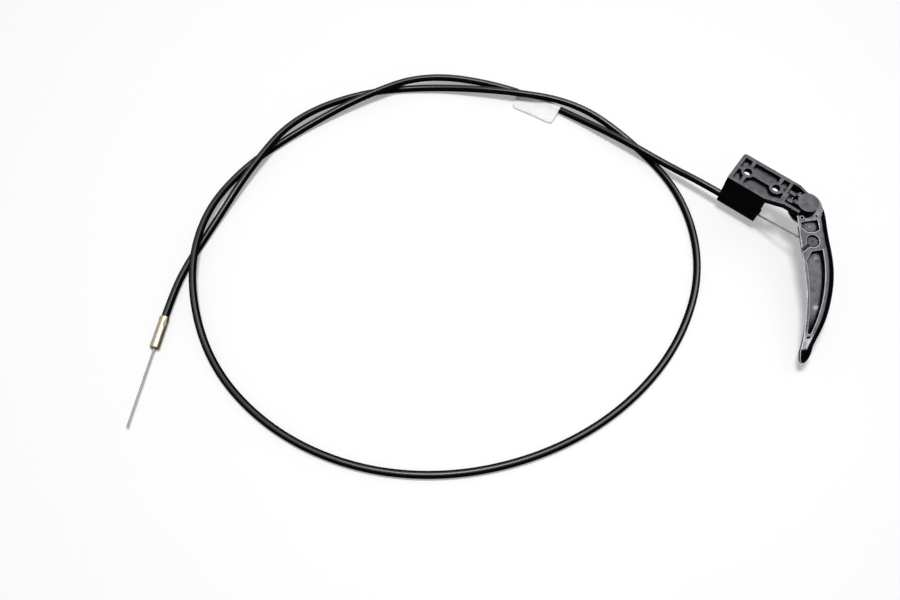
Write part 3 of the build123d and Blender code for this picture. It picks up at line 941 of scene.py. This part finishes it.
class HOODCABLE_OT_mouldings(bpy.types.Operator):
    """Finishes the bracket and the lever"""

    bl_idname = "hoodcable.mouldings"
    bl_label = "Mouldings"

    def execute(self, context):
        smooth_copy("bracket_moulding", "bracket", "bracket", glass_filled_nylon())
        gloss = polished_abs()
        lever = smooth_copy("lever_moulding", "handle_lever", "lever", gloss)
        for name, place, radius, height in EJECTOR_MARKS:
            self.ejector_mark(name, lever, Vector(place), radius, height, gloss)
        return {"FINISHED"}

    def ejector_mark(self, name, lever, place, radius, height, material):
        """Raises a low round mark on the floor of a pocket, found by looking down from above."""
        found, spot, normal, _ = lever.ray_cast(place, Vector((0, 0, -1)))
        if not found:
            raise RuntimeError("no pocket floor under " + name)
        across = normal.orthogonal().normalized()
        along = normal.cross(across)
        rings = []
        for share, rise in ((1.0, -MARK_ROOT / height), *MARK_OUTLINE):
            ring = []
            for k in range(MARK_SIDES):
                turn = 2 * math.pi * k / MARK_SIDES
                spoke = across * math.cos(turn) + along * math.sin(turn)
                ring.append(spot + spoke * radius * share + normal * height * rise)
            rings.append(ring)
        add_object(name, grid_mesh(name, rings, caps=True), "lever", material)


class HOODCABLE_OT_metal_parts(bpy.types.Operator):
    """Finishes the nipple, the pivot pin and the sheath's end cap"""

    bl_idname = "hoodcable.metal_parts"
    bl_label = "Metal parts"

    def execute(self, context):
        steel = turned_steel()
        smooth_copy("nipple", "cable_barrel", "pull_wire", cast_zinc())
        smooth_copy("rivet_pin", "pivot_pin", "bracket", steel)
        smooth_copy("socket_cap", "sheath_end_cap", "bracket", steel)
        return {"FINISHED"}


class HOODCABLE_OT_declare(bpy.types.Operator):
    bl_idname = "hoodcable.declare"
    bl_label = "Cord facts"

    def execute(self, context):
        return {"FINISHED"}


class HOODCABLE_OT_stage(bpy.types.Operator):
    """Sets the part on a white table under a softbox and an overhead lamp"""

    bl_idname = "hoodcable.stage"
    bl_label = "Stage"

    def execute(self, context):
        settings = context.scene.hood_stage
        scene = context.scene
        scene.view_settings.view_transform = "Standard"
        self.table(settings)
        self.surroundings(settings)
        for name, place, size, lights_surfaces in LAMPS:
            data = bpy.data.lights.new(name, "AREA")
            data.size = size
            data.energy = settings.power
            lamp = bpy.data.objects.new(name, data)
            lamp.visible_diffuse = lights_surfaces
            aim(lamp, place, LAMP_TARGET)
        data = bpy.data.cameras.new("camera")
        data.lens = settings.lens
        data.sensor_width = 36.0
        data.clip_start, data.clip_end = 0.01, 20.0
        camera = bpy.data.objects.new("camera", data)
        aim(camera, CAMERA_PLACE, CAMERA_TARGET)
        scene.camera = camera
        return {"FINISHED"}

    def table(self, settings):
        """A flat square table top under the part."""
        corners = [(-1, -1), (1, -1), (1, 1), (-1, 1)]
        work = bmesh.new()
        work.faces.new([work.verts.new((x * TABLE_REACH, y * TABLE_REACH, FLOOR_Z)) for x, y in corners])
        mesh = bpy.data.meshes.new("table_top")
        work.to_mesh(mesh)
        work.free()
        mesh.materials.append(painted_table(settings.floor, settings.glow))
        table = bpy.data.objects.new("table_top", mesh)
        bpy.context.scene.collection.objects.link(table)

    def surroundings(self, settings):
        """Soft light from all round, which looks white wherever it is seen."""
        world = bpy.data.worlds.new("white_room")
        bpy.context.scene.world = world
        world.use_nodes = True
        tree = world.node_tree
        tree.nodes.clear()
        strength = add_node(
            tree, "ShaderNodeMapRange", {"To Min": settings.sky, "To Max": 1.0}, {"Value": seen_rays(tree)}
        )
        white = add_node(
            tree, "ShaderNodeBackground", {"Color": WHITE}, {"Strength": strength.outputs["Result"]}
        )
        add_node(tree, "ShaderNodeOutputWorld", links={"Surface": white.outputs[0]})


OPERATORS = (
    HOODCABLE_OT_sheath,
    HOODCABLE_OT_label,
    HOODCABLE_OT_ferrule,
    HOODCABLE_OT_wires,
    HOODCABLE_OT_mouldings,
    HOODCABLE_OT_metal_parts,
    HOODCABLE_OT_declare,
    HOODCABLE_OT_stage,
)


class HOODCABLE_PT_panel(bpy.types.Panel):
    """Lists the pieces of the hood release cable"""

    bl_idname = "HOODCABLE_PT_panel"
    bl_label = "Hood Cable"
    bl_space_type = "VIEW_3D"
    bl_region_type = "UI"
    bl_category = "Hood Cable"

    def draw(self, context):
        for operator in OPERATORS:
            self.layout.operator(operator.bl_idname)
        for name, group in SETTINGS:
            box = self.layout.box()
            settings = getattr(context.scene, name)
            for field in group.__annotations__:
                box.prop(settings, field)


SETTINGS = (
    ("hood_sheath", SheathSettings),
    ("hood_label", LabelSettings),
    ("hood_ferrule", FerruleSettings),
    ("hood_wire", WireSettings),
    ("hood_stage", StageSettings),
)


def register():
    for name, group in SETTINGS:
        bpy.utils.register_class(group)
        setattr(bpy.types.Scene, name, PointerProperty(type=group))
    for operator in OPERATORS:
        bpy.utils.register_class(operator)
    bpy.utils.register_class(HOODCABLE_PT_panel)


def unregister():
    bpy.utils.unregister_class(HOODCABLE_PT_panel)
    for operator in reversed(OPERATORS):
        bpy.utils.unregister_class(operator)
    for name, group in reversed(SETTINGS):
        delattr(bpy.types.Scene, name)
        bpy.utils.unregister_class(group)


def main():
    register()
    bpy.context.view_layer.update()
    bpy.ops.hoodcable.sheath()
    bpy.ops.hoodcable.label()
    bpy.ops.hoodcable.ferrule()
    bpy.ops.hoodcable.wires()
    bpy.ops.hoodcable.mouldings()
    bpy.ops.hoodcable.metal_parts()
    bpy.ops.hoodcable.declare()
    bpy.ops.hoodcable.stage()


if __name__ == "__main__":
    main()
